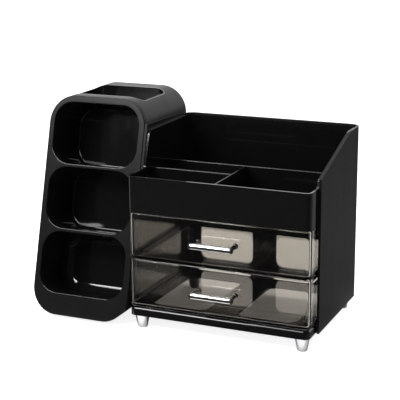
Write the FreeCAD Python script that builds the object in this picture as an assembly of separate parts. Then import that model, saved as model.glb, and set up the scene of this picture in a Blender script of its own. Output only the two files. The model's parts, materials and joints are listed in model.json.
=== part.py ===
import FreeCAD, Part
import math
import os
from FreeCAD import Vector

# Makeup storage box: a black cabinet with a divided top tray and two smoked clear drawers,
# and a tower of three round-cornered cells fixed to its left side.
# Every piece is drawn in millimetres from three planes: x = 0 is the seam between tower and
# cabinet, y = 0 the front edge of the cabinet's side panels and z = 0 the table.
# At the end each piece is moved so that the origin is at the bottom centre of the whole box.

# Driving dimensions
total_width = 320.0
total_height = 234.0
tower_width = 115.5
cabinet_depth = 136.0
front_standout = 24.0          # tray, drawers and plinth stand this far out of the side panels
handle_reach = 14.4            # drawer face to the centre line of the handle
handle_diameter = 6.4

# Cabinet case
cabinet_width = total_width - tower_width
case_wall = 2.5
case_bottom = 14.5
case_height = 205.0            # top of the back and of the left panel
case_corner = 12.0             # rear corners, seen from above
slope_low = 175.5              # right panel at its front edge
slope_run = 98.0               # depth over which the right panel rises to full height
groove_depth = 0.9
groove_height = 2.4
groove_gap = 0.1               # a tongue stays this far from the bottom of its groove

# Back windows, seen from behind as two per drawer
window_spans = ((17.5, 82.3), (110.0, 175.0))
window_levels = ((33.0, 74.0), (90.5, 127.0))
window_radius = 8.5

# What fills the case
fit_gap = 0.4                  # clearance of drawers and tray in the case
inner_left = case_wall + fit_gap
inner_right = cabinet_width - case_wall - fit_gap
front_y = -front_standout
front_radius = 6.5
rear_radius = 9.0
moulding_wall = 2.2

base_bottom = 15.5
base_floor = 2.5
base_top = 24.9
plinth_depth = 9.0             # front and rear beams of the base
plinth_edge = 0.8
ledge_width = 10.5
tongue_height = 2.0
cutout_spans = ((13.4, 77.5), (111.0, 176.5))
cutout_depths = (7.0, 116.0)
cutout_radius = 11.0

drawer_height = 49.4
drawer_pitch = 52.5
lower_drawer_z = 25.4
drawer_back = 131.0
drawer_front = 2.6             # thickness of a drawer's front

frame_bottom = 75.3
frame_thickness = 2.0
frame_front = 3.0
frame_tip = 3.0                # broken front corners

tray_bottom = 127.9
tray_rim = 166.0
tray_floor = 2.5
tray_back = cabinet_depth - case_wall - fit_gap
liner_drop = 1.6               # the tray's side rims stay this far under the panel edges
divider_top = 164.5
divider_thickness = 2.0
rear_divider_y = 70.7
left_divider_y = 30.0
long_divider_x = 97.4
divider_gap = 0.2              # between a divider's end and the tray's wall
rib_gap = 0.15
rib_thickness = 1.2
rib_reach = 1.5

# Handles, screws and feet
handle_length = 47.4
handle_centre_x = 102.3
handle_rise = 26.0             # handle above the drawer's underside
post_spacing = 40.4
post_diameter = 5.0
handle_bore = 3.8
cap_length = 2.2
screw_shank = 3.0
screw_head_radius = 3.05
screw_head = 2.2
rivet_radius = 2.95
rivet_head_radius = 5.0
rivet_head = 1.15
rivet_gap = 0.15
foot_height = 15.5
foot_collar = 1.2
foot_top_diameter = 16.0
foot_tip_diameter = 10.4
foot_inset = 13.0
foot_recess = 6.0              # depth of the hollow for the screw head
corner_block = 12.0            # width of the base's blocks over the feet

# Tower
tower_bottom = 4.0
tower_seam = 0.3               # air between tower and cabinet
tower_corner = 29.0
tower_wall = 2.8
tower_front_low = -30.0        # front face at the table
tower_front_high = 34.6        # front face at the top
bezel_thickness = 3.0
bezel_edge = 0.9
bezel_seam = 0.25              # between the bezel and the casing
skirt_depth = 9.0              # how far the bezel's skirt reaches into the casing
skirt_gap = 0.15
skirt_wall = 1.85
cell_count = 3
cell_bottom = 27.6             # lip of the lowest cell
cell_height = 64.3
cell_pitch = 67.7
cell_left = 6.6                # border of the bezel on the left and right of the cells
cell_right = 7.5
cell_radius = 21.0
cell_depth = 57.0              # square to the slanted front
cell_back_radius = 8.5
cell_back_steps = 3            # flats that make up the rounded back inside
cell_back_break = 6.4          # the one flat outside
cell_wall = 2.0
well_front = 50.0              # opening in the tower's top
well_back = 112.0
well_half_width = 43.3
well_radius = 9.0
well_wall = 1.8
well_step = 93.5               # behind this the well is a deep slot
well_bottom = 130.0
well_shelf_depth = 7.6         # from the top to the underside of the shelf's front edge
well_gap = 0.2
pad_radius = 6.0
pad_tread = 5.2
pad_edge = 0.8

# Edges and small round parts
edge_break = 1.2               # broken edges of the mouldings
fastener_sides = 12            # hidden screws, rivets and pads
round_sides = 32               # feet and the handles' end caps
post_sides = 16
snug = 0.05                    # clearance of a screw in its hole and of a part on its seat
past = 1.0                     # how far a cut runs on past the face it goes through

slant = math.atan((tower_front_high - tower_front_low) / total_height)
tower_left = -tower_width
tower_right = -tower_seam
tower_middle = (tower_left + tower_right) / 2
far = 400.0                    # longer than the whole box, for cutting


def rounded_face(corners, point):
    # A flat face from corners (a, b, radius) in order round it; point places a pair in space
    edges = []
    arcs = []
    count = len(corners)
    for i in range(count):
        a, b, radius = corners[i]
        here = Vector(a, b, 0)
        before = Vector(corners[i - 1][0], corners[i - 1][1], 0) - here
        after = Vector(corners[(i + 1) % count][0], corners[(i + 1) % count][1], 0) - here
        before.normalize()
        after.normalize()
        half = before.getAngle(after) / 2
        reach = radius / math.tan(half)
        middle = before + after
        middle.normalize()
        crown = here + middle * (radius / math.sin(half) - radius)
        arcs.append((here + before * reach, crown, here + after * reach, radius))
    for i in range(count):
        first, crown, last, radius = arcs[i]
        following = arcs[(i + 1) % count][0]
        a, b, c, d = [point(v.x, v.y) for v in (first, crown, last, following)]
        if radius > 0:
            edges.append(Part.Arc(a, b, c).toShape())
        if (d - c).Length > 1e-6:
            edges.append(Part.LineSegment(c, d).toShape())
    return Part.Face(Part.Wire(edges))


def plan_prism(x0, x1, y0, y1, z0, z1, front, rear):
    # Upright block, its front and rear corners rounded as seen from above
    corners = ((x0, y0, front), (x1, y0, front), (x1, y1, rear), (x0, y1, rear))
    face = rounded_face(corners, lambda a, b: Vector(a, b, z0))
    return face.extrude(Vector(0, 0, z1 - z0))


def side_prism(corners, x0, x1):
    # Outline drawn from the side as (y, z, radius), run from x0 to x1
    face = rounded_face(corners, lambda a, b: Vector(x0, a, b))
    return face.extrude(Vector(x1 - x0, 0, 0))


def front_prism(x0, x1, z0, z1, radius, y0, y1):
    # Rounded outline drawn from the front, run from y0 to y1
    corners = ((x0, z0, radius), (x1, z0, radius), (x1, z1, radius), (x0, z1, radius))
    face = rounded_face(corners, lambda a, b: Vector(a, y0, b))
    return face.extrude(Vector(0, y1 - y0, 0))


def box(x0, x1, y0, y1, z0, z1):
    return Part.makeBox(x1 - x0, y1 - y0, z1 - z0, Vector(x0, y0, z0))


def rod(radius, start, direction, length):
    return Part.makeCylinder(radius, length, start, direction)


def sided_rod(radius, start, direction, length, end_radius=None, sides=fastener_sides):
    # Many-sided rod or taper for the small round parts and their holes
    rings = []
    for reach, r in ((0, radius), (length, radius if end_radius is None else end_radius)):
        turns = [2 * math.pi * i / sides for i in range(sides + 1)]
        rings.append([Vector(r * math.cos(t), r * math.sin(t), reach) for t in turns])
    low, high = rings
    outlines = [low, high]
    for i in range(sides):
        outlines.append([low[i], low[i + 1], high[i + 1], high[i], low[i]])
    shell = Part.Shell([Part.Face(Part.makePolygon(outline)) for outline in outlines])
    shell.sewShape()
    body = Part.Solid(shell)
    body.Placement = FreeCAD.Placement(start, FreeCAD.Rotation(Vector(0, 0, 1), direction))
    return body


def joined(shapes):
    body = shapes[0]
    for shape in shapes[1:]:
        body = body.fuse(shape)
    return body.removeSplitter()


def lengthwise(shape, direction):
    # Straight edges that run along a direction
    found = []
    for edge in shape.Edges:
        straight = isinstance(edge.Curve, Part.Line)
        if straight and abs(edge.tangentAt(edge.FirstParameter).dot(direction)) > 0.999:
            found.append(edge)
    return found


def edges_at_height(shape, z):
    # Edges that lie flat at one height
    found = []
    for edge in shape.Edges:
        box_of_edge = edge.BoundBox
        if abs(box_of_edge.ZMin - z) < 0.01 and abs(box_of_edge.ZMax - z) < 0.01:
            found.append(edge)
    return found


def front_at(z):
    # Slanted front of the tower at height z
    return tower_front_low + z * math.tan(slant)


def on_front(shape):
    # Turns a shape drawn on an upright front, with y as depth, onto the slanted front
    moved = shape.copy()
    moved.rotate(Vector(0, 0, 0), Vector(1, 0, 0), -math.degrees(slant))
    moved.translate(Vector(0, tower_front_low, 0))
    return moved


def side_grooves(z, height=groove_height):
    # A groove along the inside of both side panels
    y0 = frame_front / 2
    y1 = cabinet_depth - case_corner
    left = box(case_wall - groove_depth, case_wall + past, y0, y1, z, z + height)
    right_face = cabinet_width - case_wall
    right = box(right_face - past, right_face + groove_depth, y0, y1, z, z + height)
    return left.fuse(right)


def side_tongues(y0, z, height):
    # Ribs on a moulding that seat in the side grooves
    y1 = cabinet_depth - case_corner - 2
    reach = fit_gap + groove_depth - groove_gap
    left = box(inner_left - reach, inner_left + past, y0, y1, z, z + height)
    right = box(inner_right - past, inner_right + reach, y0, y1, z, z + height)
    return left.fuse(right)


def rivet_places():
    # Where the tower is fixed to the cabinet's left panel, as (y, z)
    return ((45.0, 50.0), (115.0, 50.0), (62.0, 152.0), (115.0, 152.0))


def make_case_shell():
    wide = cabinet_width
    outer = plan_prism(0, wide, 0, cabinet_depth, case_bottom, case_height, 0, case_corner)
    inner = plan_prism(case_wall, wide - case_wall, -far, cabinet_depth - case_wall, case_bottom - past,
                       case_height + past, 0, case_corner - case_wall)
    shell = outer.cut(inner)
    # The right panel's top runs up in a straight slope that eases into the level back part
    above_right = side_prism(((-20, slope_low - 20 * (case_height - slope_low) / slope_run, 0),
                              (slope_run, case_height, 30.0), (slope_run + 25, case_height, 0),
                              (slope_run + 25, case_height + 40, 0), (-20, case_height + 40, 0)),
                             wide / 2, wide + 1)
    shell = shell.cut(above_right)
    # The left panel's front edge follows the tower's slanted front
    z_meet = -tower_front_low / math.tan(slant)
    ahead_left = side_prism(((-20, z_meet - 40, 0), (0.0, z_meet - 40, 0), (0.0, z_meet, 60.0),
                             (front_at(case_height + 20), case_height + 20, 0), (-20, case_height + 20, 0)),
                            -1, wide / 2)
    shell = shell.cut(ahead_left)
    front_top = [e for e in lengthwise(shell, Vector(1, 0, 0))
                 if e.BoundBox.XMin > wide / 2 and e.BoundBox.YMax < 1 and e.BoundBox.ZMin > 100]
    shell = shell.makeFillet(2.2, front_top)
    for x0, x1 in window_spans:
        for z0, z1 in window_levels:
            window = front_prism(x0, x1, z0, z1, window_radius, cabinet_depth - 8, cabinet_depth + 5)
            shell = shell.cut(window)
    for z in (base_bottom + 0.5, frame_bottom - 0.2, tray_bottom + 0.3):
        shell = shell.cut(side_grooves(z))
    for y, z in rivet_places():
        start = Vector(-past, y, z)
        shell = shell.cut(sided_rod(rivet_radius + rivet_gap, start, Vector(1, 0, 0), case_wall + 2 * past))
        sink = Vector(case_wall - rivet_head - rivet_gap, y, z)
        shell = shell.cut(sided_rod(rivet_head_radius + rivet_gap, sink, Vector(1, 0, 0), case_wall))
    return shell


def make_base_plinth():
    # Shallow base: front plinth, floor with two rounded cut-outs and a ledge along each side
    body = plan_prism(inner_left, inner_right, front_y, tray_back, base_bottom, base_top,
                      front_radius, case_corner - case_wall - fit_gap)
    hollow = plan_prism(inner_left + ledge_width, inner_right - ledge_width, front_y + plinth_depth,
                        tray_back - plinth_depth, base_bottom + base_floor, base_top + past, 0, 0)
    body = body.cut(hollow)
    for x0, x1 in cutout_spans:
        body = body.cut(plan_prism(x0, x1, cutout_depths[0], cutout_depths[1], base_bottom - past,
                                   base_bottom + base_floor + past, cutout_radius, cutout_radius))
    # The ledges and the plinth are open below, with even walls
    wall = moulding_wall
    for x0, x1 in ((inner_left, inner_left + ledge_width), (inner_right - ledge_width, inner_right)):
        body = body.cut(box(x0 + wall, x1 - wall, 30, cabinet_depth - 30,
                            base_bottom - past, base_top - wall))
    body = body.cut(box(30, cabinet_width - 30, front_y + wall, front_y + plinth_depth - wall,
                        base_bottom - past, base_top - wall))
    front_top = [e for e in edges_at_height(body, base_top) if e.BoundBox.YMin < front_y + 1]
    body = body.makeChamfer(plinth_edge, front_top)
    body = body.fuse(side_tongues(frame_front, base_bottom + 0.7, tongue_height))
    # A block in each corner takes the foot's screw
    half = corner_block / 2
    for x, y in foot_places():
        body = body.fuse(box(x - half, x + half, y - half, y + half, base_bottom, base_top - 1))
    for x, y in foot_places():
        hole = sided_rod(screw_shank / 2 + snug, Vector(x, y, 0), Vector(0, 0, 1), base_top - 2.4)
        body = body.cut(hole)
    return body.removeSplitter()


def make_runner_frame():
    # U-shaped frame between the drawers, open at the front, seated in the side grooves
    top = frame_bottom + frame_thickness
    body = plan_prism(inner_left, inner_right, frame_front, tray_back, frame_bottom, top,
                      0, case_corner - case_wall - fit_gap)
    opening = plan_prism(inner_left + ledge_width, inner_right - ledge_width, front_y, cutout_depths[1],
                         frame_bottom - past, top + past, 0, cutout_radius)
    body = body.cut(opening)
    tips = [e for e in lengthwise(body, Vector(0, 0, 1)) if e.BoundBox.YMax < frame_front + 0.1]
    body = body.makeChamfer(frame_tip, tips)
    tongues = side_tongues(frame_front + frame_tip + 1, frame_bottom, frame_thickness)
    return body.fuse(tongues).removeSplitter()


def tray_rim_cut(side_corners, x0, x1):
    # What is taken off above a rim line given from the side as (y, z, radius)
    above = ((tray_back + 30, side_corners[-1][1], 0), (tray_back + 30, case_height + 60, 0),
             (-60, case_height + 60, 0))
    return side_prism(tuple(side_corners) + above, x0, x1)


def make_top_tray():
    # Tall glossy liner: low front skirt, side rims that sweep up inside the panels, high back wall
    top = case_height - liner_drop
    rear = case_corner - case_wall - fit_gap
    outer = plan_prism(inner_left, inner_right, front_y, tray_back, tray_bottom, top, front_radius, rear)
    wall = moulding_wall
    cavity = plan_prism(inner_left + wall, inner_right - wall, front_y + wall, tray_back - wall,
                        tray_bottom + tray_floor, top + 1, front_radius - wall, rear - wall)
    cavity = cavity.makeChamfer(edge_break, edges_at_height(cavity, tray_bottom + tray_floor))
    body = outer.cut(cavity)
    rise = (case_height - slope_low) / slope_run
    right_line = ((-60, tray_rim, 0), (-0.8, tray_rim, 2.5), (3.2, slope_low - liner_drop, 4.0),
                  (slope_run + liner_drop, case_height - liner_drop, 28.0))
    body = body.cut(tray_rim_cut(right_line, cabinet_width / 2, cabinet_width))
    start = front_at(tray_rim) + 1.5
    end = start + (top + 2 - tray_rim) * math.tan(slant)
    left_line = ((-60, tray_rim, 0), (start - 1.0, tray_rim, 2.5), (start + 1.5, tray_rim + 9.0, 4.0),
                 (end, top, 6.0))
    body = body.cut(tray_rim_cut(left_line, 0, cabinet_width / 2))
    body = body.fuse(side_tongues(frame_front, tray_bottom + 0.5, tongue_height))
    # Pairs of ribs on the walls hold the ends of the dividers
    z0 = tray_bottom + tray_floor - 0.5
    z1 = divider_top - 6
    for y in (rear_divider_y, left_divider_y):
        for side in (-1, 1):
            near = y + side * (divider_thickness / 2 + rib_gap)
            y0, y1 = sorted((near, near + side * rib_thickness))
            body = body.fuse(box(inner_left + wall - 0.5, inner_left + wall + rib_reach, y0, y1, z0, z1))
            if y == rear_divider_y:
                x0 = inner_right - wall - rib_reach
                body = body.fuse(box(x0, inner_right - wall + 0.5, y0, y1, z0, z1))
    for side in (-1, 1):
        near = long_divider_x + side * (divider_thickness / 2 + rib_gap)
        x0, x1 = sorted((near, near + side * rib_thickness))
        body = body.fuse(box(x0, x1, front_y + wall - 0.5, front_y + wall + rib_reach, z0, z1))
    return body.removeSplitter()


def divider_plate(x0, x1, y0, y1):
    # Thin upright plate, its lower corners cut to clear the broken edges of the tray's floor
    z0 = tray_bottom + tray_floor + snug
    plate = box(x0, x1, y0, y1, z0, divider_top)
    plate = plate.makeChamfer(0.5, edges_at_height(plate, divider_top))
    along = Vector(1, 0, 0) if x1 - x0 < y1 - y0 else Vector(0, 1, 0)
    ends = [e for e in lengthwise(plate, along) if abs(e.BoundBox.ZMin - z0) < 0.01]
    return plate.makeChamfer(1.6, ends)


def make_rear_divider():
    half = divider_thickness / 2
    wall = moulding_wall + divider_gap
    plate = divider_plate(inner_left + wall, inner_right - wall, rear_divider_y - half, rear_divider_y + half)
    slot = box(long_divider_x - half - 0.1, long_divider_x + half + 0.1,
               rear_divider_y - 3, rear_divider_y + 3, tray_bottom, tray_bottom + 16)
    return plate.cut(slot)


def make_left_divider():
    half = divider_thickness / 2
    wall = moulding_wall + divider_gap
    return divider_plate(inner_left + wall, long_divider_x - half - 0.1,
                         left_divider_y - half, left_divider_y + half)


def make_long_divider():
    # Runs from the front wall to the rear divider, with a tab that passes under it
    half = divider_thickness / 2
    x0 = long_divider_x - half
    x1 = long_divider_x + half
    plate = divider_plate(x0, x1, front_y + moulding_wall + divider_gap, rear_divider_y - half - 0.1)
    tab = box(x0, x1, rear_divider_y - half - 2, rear_divider_y + half + 1.5,
              tray_bottom + tray_floor + snug, tray_bottom + 15.5)
    return plate.fuse(tab).removeSplitter()


def make_drawer(z):
    # Clear tub with rounded corners, broken edges below and a thicker front with two screw holes
    wall = moulding_wall
    top = z + drawer_height
    outer = plan_prism(inner_left, inner_right, front_y, drawer_back, z, top, front_radius, rear_radius)
    outer = outer.makeChamfer(edge_break, edges_at_height(outer, z))
    cavity = plan_prism(inner_left + wall, inner_right - wall, front_y + drawer_front, drawer_back - wall,
                        z + wall, top + past, front_radius - wall, rear_radius - wall)
    cavity = cavity.makeChamfer(edge_break, edges_at_height(cavity, z + wall))
    body = outer.cut(cavity)
    for x in post_places():
        start = Vector(x, front_y - past, z + handle_rise)
        body = body.cut(sided_rod(screw_shank / 2 + snug, start, Vector(0, 1, 0), drawer_front + 2 * past))
    return body


def post_places():
    return (handle_centre_x - post_spacing / 2, handle_centre_x + post_spacing / 2)


def make_handle_bar(z):
    axis_y = front_y - handle_reach
    length = handle_length - 2 * cap_length
    start = Vector(handle_centre_x - length / 2, axis_y, z + handle_rise)
    tube = rod(handle_diameter / 2, start, Vector(1, 0, 0), length)
    start = start - Vector(past, 0, 0)
    return tube.cut(sided_rod(handle_bore / 2, start, Vector(1, 0, 0), length + 2 * past))


def make_handle_caps(z):
    # End caps, each with a spigot that sits in the tube
    caps = []
    for side in (-1, 1):
        outwards = Vector(side, 0, 0)
        seat = Vector(handle_centre_x, front_y - handle_reach, z + handle_rise)
        seat = seat + outwards * (handle_length / 2 - cap_length)
        disc = sided_rod(handle_diameter / 2 - 2 * snug, seat, outwards, cap_length, sides=round_sides)
        caps.append(disc.fuse(sided_rod(handle_bore / 2 - 2 * snug, seat, outwards * -1, 4)))
    return Part.makeCompound(caps)


def make_handle_post(z, x):
    # Round post between drawer face and bar, saddled to the bar and bored for its screw
    height = z + handle_rise
    foot = Vector(x, front_y, height)
    body = sided_rod(post_diameter / 2, foot, Vector(0, -1, 0), handle_reach, sides=post_sides)
    bar_start = Vector(x - post_diameter, front_y - handle_reach, height)
    body = body.cut(rod(handle_diameter / 2 + 0.02, bar_start, Vector(1, 0, 0), 2 * post_diameter))
    return body.cut(sided_rod(screw_shank / 2 + snug, Vector(x, front_y + past, height), Vector(0, -1, 0), 9))


def make_handle_screws(z):
    # Flat-headed screws inside the drawer front
    screws = []
    for x in post_places():
        seat = Vector(x, front_y + drawer_front + 0.02, z + handle_rise)
        shank = sided_rod(screw_shank / 2, seat, Vector(0, -1, 0), 9.5)
        screws.append(joined([shank, sided_rod(screw_head_radius, seat, Vector(0, 1, 0), screw_head)]))
    return Part.makeCompound(screws)


def foot_places():
    right = cabinet_width - foot_inset
    front = front_y + foot_inset - 2
    rear = tray_back - foot_top_diameter / 2 - 0.3
    return ((foot_inset, front), (right, front), (foot_inset, rear), (right, rear))


def make_foot(x, y):
    # Tapered round foot with a short straight rim, hollow under the screw head
    top = foot_top_diameter / 2
    up = Vector(0, 0, 1)
    rim = foot_height - foot_collar
    taper = sided_rod(foot_tip_diameter / 2, Vector(x, y, 0), up, rim, end_radius=top, sides=round_sides)
    collar = sided_rod(top, Vector(x, y, rim), up, foot_collar - snug, sides=round_sides)
    body = joined([taper, collar])
    body = body.cut(sided_rod(screw_head_radius + 0.3, Vector(x, y, -past), up, foot_recess + past))
    return body.cut(sided_rod(screw_shank / 2 + snug, Vector(x, y, 0), up, foot_height))


def make_foot_screws():
    # Screws up through the feet into the corner blocks of the base
    screws = []
    for x, y in foot_places():
        seat = Vector(x, y, foot_recess - snug)
        shank = sided_rod(screw_shank / 2, seat, Vector(0, 0, 1), 15.5)
        screws.append(joined([shank, sided_rod(screw_head_radius, seat, Vector(0, 0, -1), screw_head)]))
    return Part.makeCompound(screws)


def tower_block(inset, y0, y1):
    # Rounded tower outline, taken in by inset, run from y0 to y1
    return front_prism(tower_left + inset, tower_right - inset, tower_bottom + inset, total_height - inset,
                       tower_corner - inset, y0, y1)


def behind_front(depth):
    # Everything further in than depth behind the slanted front
    return on_front(box(-far, far, depth, far, -far, far))


def well_prism(outset):
    x0 = tower_middle - well_half_width - outset
    x1 = tower_middle + well_half_width + outset
    return plan_prism(x0, x1, well_front - outset, well_back + outset, well_bottom - 5, total_height + 20,
                      well_radius + outset, well_radius + outset)


def make_tower_casing():
    # Wrap-round casing with a closed back, open at the slanted front and cut for the well on top
    outer = tower_block(0, -60, cabinet_depth)
    rear_rim = [e for e in outer.Edges if e.BoundBox.YMin > cabinet_depth - 0.1]
    outer = outer.makeChamfer(edge_break, rear_rim)
    inner = tower_block(tower_wall, -61, cabinet_depth - tower_wall)
    body = outer.cut(inner).common(behind_front(bezel_thickness + bezel_seam))
    body = body.cut(well_prism(well_wall + well_gap))
    for y, z in rivet_places():
        start = Vector(tower_right - tower_wall - past, y, z)
        body = body.cut(sided_rod(rivet_radius + rivet_gap, start, Vector(1, 0, 0), tower_wall + 2 * past))
    return body


def cell_block(level, outset, stations):
    # One cell, drawn on an upright front and then turned to the slant. It stands outset away from
    # the cell's own outline; the stations (depth, inset) say how far it is taken in at each depth.
    scale = 1 / math.cos(slant)
    z0 = (cell_bottom + level * cell_pitch) * scale
    z1 = z0 + cell_height * scale
    outlines = []
    for depth, inset in stations:
        grow = outset - inset
        left = tower_left + cell_left - grow
        right = tower_right - cell_right + grow
        radius = cell_radius + grow
        corners = ((left, z0 - grow, radius), (right, z0 - grow, radius),
                   (right, z1 + grow, radius), (left, z1 + grow, radius))
        outlines.append(rounded_face(corners, lambda a, b: Vector(a, depth, b)).OuterWire)
    return on_front(Part.makeLoft(outlines, True, True))


def cell_inside(level):
    # The hollow of a cell, its back rounded in a few flats
    stations = [(-5, 0)]
    for i in range(cell_back_steps + 1):
        turn = math.pi / 2 * i / cell_back_steps
        stations.append((cell_depth - cell_back_radius * (1 - math.sin(turn)),
                         cell_back_radius * (1 - math.cos(turn))))
    return cell_block(level, 0, stations)


def cell_outside(level):
    # The block that the hollow is cut from, its back broken by one flat
    back = cell_depth + cell_wall
    return cell_block(level, cell_wall, ((0.5, 0), (back - cell_back_break, 0), (back, cell_back_break)))


def make_tower_front():
    # One moulding: slanted bezel, a skirt that plugs into the casing and three deep cells with rounded backs
    plate = tower_block(0, -60, cabinet_depth).common(on_front(box(-far, far, 0, bezel_thickness, -far, far)))
    front_rim = []
    for edge in plate.Edges:
        middle = edge.valueAt((edge.FirstParameter + edge.LastParameter) / 2)
        if abs(middle.y - front_at(middle.z)) < 0.01:
            front_rim.append(edge)
    body = plate.makeChamfer(bezel_edge, front_rim)
    inset = tower_wall + skirt_gap
    skirt = tower_block(inset, -60, cabinet_depth)
    skirt = skirt.cut(tower_block(inset + skirt_wall, -61, cabinet_depth + 1))
    skirt = skirt.common(on_front(box(-far, far, bezel_thickness - 0.5, skirt_depth, -far, far)))
    # Only the straight stretches of the skirt are there, the corners are left open
    upright = box(tower_left + tower_corner, tower_right - tower_corner, -far, far, 0, far)
    level_part = box(-far, far, -far, far, tower_bottom + tower_corner, total_height - tower_corner)
    body = body.fuse(skirt.common(upright)).fuse(skirt.common(level_part))
    for level in range(cell_count):
        body = body.fuse(cell_outside(level))
    for level in range(cell_count):
        body = body.cut(cell_inside(level))
    return body


def well_outline(inset):
    # The well from the side: a shallow shelf over the top cell, then a deep slot behind it
    above = total_height + 30
    front = well_front - well_wall + inset
    step = well_step - well_wall + inset
    back = well_back + well_wall - inset
    shelf = total_height - well_shelf_depth + inset
    drop = (well_step - well_front) * math.tan(slant)
    return ((front, above, 0), (front, shelf, 0), (step, shelf - drop, 1.5),
            (step, well_bottom + inset, 0), (back, well_bottom + inset, 0), (back, above, 0))


def make_tower_well():
    # Insert in the tower's top; its rim is flush with the rounded shoulders
    outer = well_prism(well_wall).common(side_prism(well_outline(0), -far, far))
    cavity = well_prism(0).common(side_prism(well_outline(well_wall), -far, far))
    flush = tower_block(0, -60, cabinet_depth)
    return outer.common(flush).cut(cavity)


def make_tower_pads():
    # Low rubber pads under the tower
    pads = []
    for x in (tower_left + tower_corner + 3, tower_right - tower_corner - 3):
        for y in (front_at(tower_bottom) + 18, cabinet_depth - 16):
            tread = sided_rod(pad_tread, Vector(x, y, 0), Vector(0, 0, 1), pad_edge, end_radius=pad_radius)
            seat = Vector(x, y, pad_edge)
            body = sided_rod(pad_radius, seat, Vector(0, 0, 1), tower_bottom - pad_edge - 0.02)
            pads.append(joined([tread, body]))
    return Part.makeCompound(pads)


def make_joining_rivets():
    # Snap rivets from inside the cabinet through its left panel into the tower
    rivets = []
    span = case_wall + tower_seam + tower_wall
    outwards = Vector(-1, 0, 0)
    for y, z in rivet_places():
        start = Vector(case_wall - 0.1, y, z)
        head = sided_rod(rivet_head_radius, start, outwards, rivet_head)
        shank = sided_rod(rivet_radius, start, outwards, span + 0.1)
        barb_start = start + outwards * (span + 0.1)
        barb = sided_rod(rivet_radius + 0.65, barb_start, outwards, rivet_radius,
                         end_radius=rivet_radius * 0.75)
        rivets.append(joined([head, shank, barb]))
    return Part.makeCompound(rivets)


pieces = {
    "case_shell": make_case_shell(),
    "base_plinth": make_base_plinth(),
    "runner_frame": make_runner_frame(),
    "top_tray": make_top_tray(),
    "rear_divider": make_rear_divider(),
    "left_divider": make_left_divider(),
    "long_divider": make_long_divider(),
    "foot_screws": make_foot_screws(),
    "tower_casing": make_tower_casing(),
    "tower_front": make_tower_front(),
    "tower_well": make_tower_well(),
    "tower_pads": make_tower_pads(),
    "joining_rivets": make_joining_rivets(),
}
foot_names = ("front_left_foot", "front_right_foot", "rear_left_foot", "rear_right_foot")
for foot_name, foot_place in zip(foot_names, foot_places()):
    pieces[foot_name] = make_foot(*foot_place)
for level_name, drawer_z in (("lower", lower_drawer_z), ("upper", lower_drawer_z + drawer_pitch)):
    pieces[level_name + "_drawer"] = make_drawer(drawer_z)
    pieces[level_name + "_handle_bar"] = make_handle_bar(drawer_z)
    pieces[level_name + "_handle_caps"] = make_handle_caps(drawer_z)
    pieces[level_name + "_handle_left_post"] = make_handle_post(drawer_z, post_places()[0])
    pieces[level_name + "_handle_right_post"] = make_handle_post(drawer_z, post_places()[1])
    pieces[level_name + "_handle_screws"] = make_handle_screws(drawer_z)

# The origin goes to the bottom centre of the whole box
handle_front = front_y - handle_reach - handle_diameter / 2
to_origin = Vector(tower_width - total_width / 2, -(handle_front + cabinet_depth) / 2, 0)

os.makedirs("parts", exist_ok=True)
for name, shape in pieces.items():
    shape.translate(to_origin)
    shape.exportStep("parts/" + name + ".step")
    state = "valid" if shape.isValid() else "NOT VALID"
    print(name, len(shape.Solids), "solids", round(shape.Volume), "mm3", state)
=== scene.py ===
import json
import math

import bmesh
import bpy
from mathutils import Matrix, Vector


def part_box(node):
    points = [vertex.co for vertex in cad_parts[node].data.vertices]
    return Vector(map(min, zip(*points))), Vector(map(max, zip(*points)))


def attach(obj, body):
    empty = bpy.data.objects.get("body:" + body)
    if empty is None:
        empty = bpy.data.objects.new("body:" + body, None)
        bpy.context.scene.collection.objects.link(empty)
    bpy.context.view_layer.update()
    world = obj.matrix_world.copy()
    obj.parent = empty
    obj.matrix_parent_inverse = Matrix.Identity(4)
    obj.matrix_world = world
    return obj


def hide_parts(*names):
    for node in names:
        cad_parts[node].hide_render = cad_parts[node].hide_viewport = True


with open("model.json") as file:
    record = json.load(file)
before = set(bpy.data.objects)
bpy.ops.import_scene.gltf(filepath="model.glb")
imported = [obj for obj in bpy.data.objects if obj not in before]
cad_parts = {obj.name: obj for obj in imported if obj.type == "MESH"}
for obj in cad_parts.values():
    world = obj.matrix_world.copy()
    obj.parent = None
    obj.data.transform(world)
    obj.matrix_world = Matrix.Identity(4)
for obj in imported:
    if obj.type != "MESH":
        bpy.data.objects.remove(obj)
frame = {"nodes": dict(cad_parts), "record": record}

scene = bpy.context.scene
scene.view_settings.view_transform = "Standard"
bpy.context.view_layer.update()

mm = 0.001
seam = Vector((-44.5, -47.2, 0)) * mm   # seam of tower and cabinet, front edge of the side panels, on the table
weld, same = 1e-7, 1e-6   # metres: points that are merged, and places that count as equal
onLoop = 0.01             # millimetres: how near to its place a point on an added loop lies


def at(x, y, z):
    # A place in millimetres from the seam
    return Vector((x, y, z)) * mm + seam


# Shaders

def newGroup(name, inputs, outputs):
    # A node group; inputs are (name, kind, value) and outputs (name, kind)
    group = bpy.data.node_groups.new(name, "ShaderNodeTree")
    for label, kind, value in inputs:
        socket = group.interface.new_socket(label, in_out="INPUT", socket_type=kind)
        socket.default_value = value
    for label, kind in outputs:
        group.interface.new_socket(label, in_out="OUTPUT", socket_type=kind)
    return group, group.nodes.new("NodeGroupInput"), group.nodes.new("NodeGroupOutput")


def noise(tree, vector, scale, detail=2.0, roughness=0.5):
    node = tree.nodes.new("ShaderNodeTexNoise")
    node.inputs["Detail"].default_value = detail
    node.inputs["Roughness"].default_value = roughness
    if isinstance(scale, (int, float)):
        node.inputs["Scale"].default_value = scale
    else:
        tree.links.new(scale, node.inputs["Scale"])
    tree.links.new(vector, node.inputs["Vector"])
    return node.outputs["Fac"]


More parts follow.
